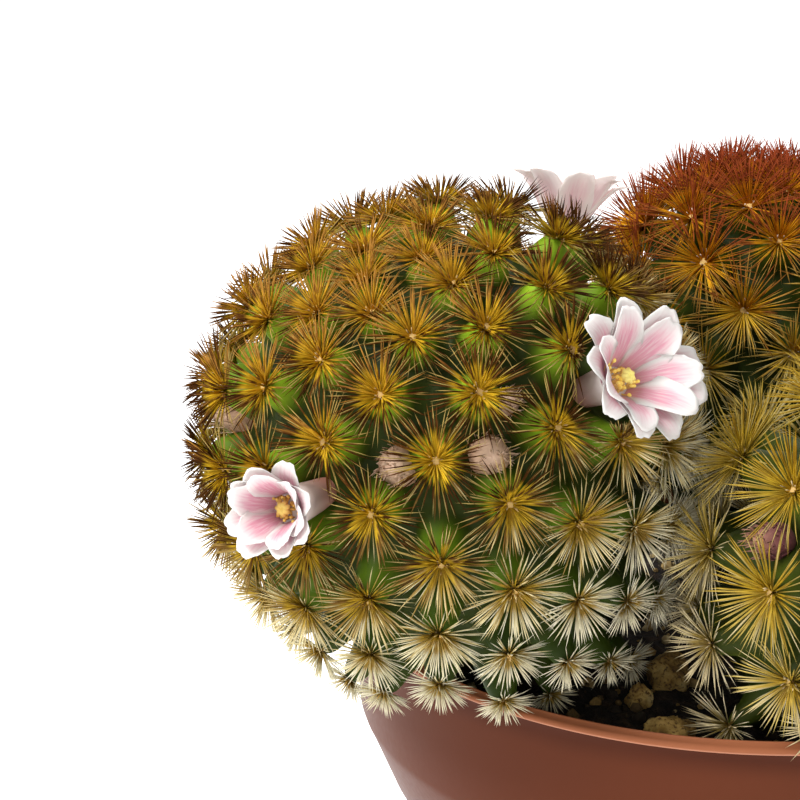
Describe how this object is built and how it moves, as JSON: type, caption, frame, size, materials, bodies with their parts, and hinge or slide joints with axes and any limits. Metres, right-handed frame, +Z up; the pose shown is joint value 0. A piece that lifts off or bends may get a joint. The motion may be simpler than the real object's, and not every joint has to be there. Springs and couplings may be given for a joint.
{
  "type": "potted round cactus",
  "caption": "Clump of round, spiny tubercled cactus stems in flower, growing in gravelly soil in a round plastic nursery pot with a deep collar and drainage holes.",
  "frame": {"origin": "centre of the pot's underside", "axes": "+Z up, the viewer in front of the pot looks along +Y"},
  "size_m": [0.109, 0.0998, 0.1199],
  "materials": {
    "pot": "satin terracotta-brown moulded plastic",
    "soil": "loose near-black potting mix",
    "pebbles": "rough ochre pumice",
    "cactus_flesh": "soft-sheen green skin under amber, brown-tipped and cream needles",
    "petals": "silky white with a pink midstripe",
    "stamens": "powdery yellow",
    "buds": "woolly pinkish tan"
  },
  "bodies": {
    "root": {"pot": "pot", "soil": "soil", "pebble_rim": "pebbles", "pebble_large": "pebbles", "pebble_amber": "pebbles", "pebble_front": "pebbles", "pebble_left": "pebbles", "pebble_back": "pebbles", "stem_main": "cactus_flesh", "stem_front": "cactus_flesh", "stem_rear": "cactus_flesh", "stem_right": "cactus_flesh", "stem_pup": "cactus_flesh", "flower_right_petals": "petals", "flower_right_stamens": "stamens", "flower_left_petals": "petals", "flower_left_stamens": "stamens", "flower_back_petals": "petals", "flower_back_stamens": "stamens", "bud_middle": "buds", "bud_centre_left": "buds", "bud_far_left": "buds", "bud_upper": "buds", "bud_front": "buds"}
  },
  "joints": []
}
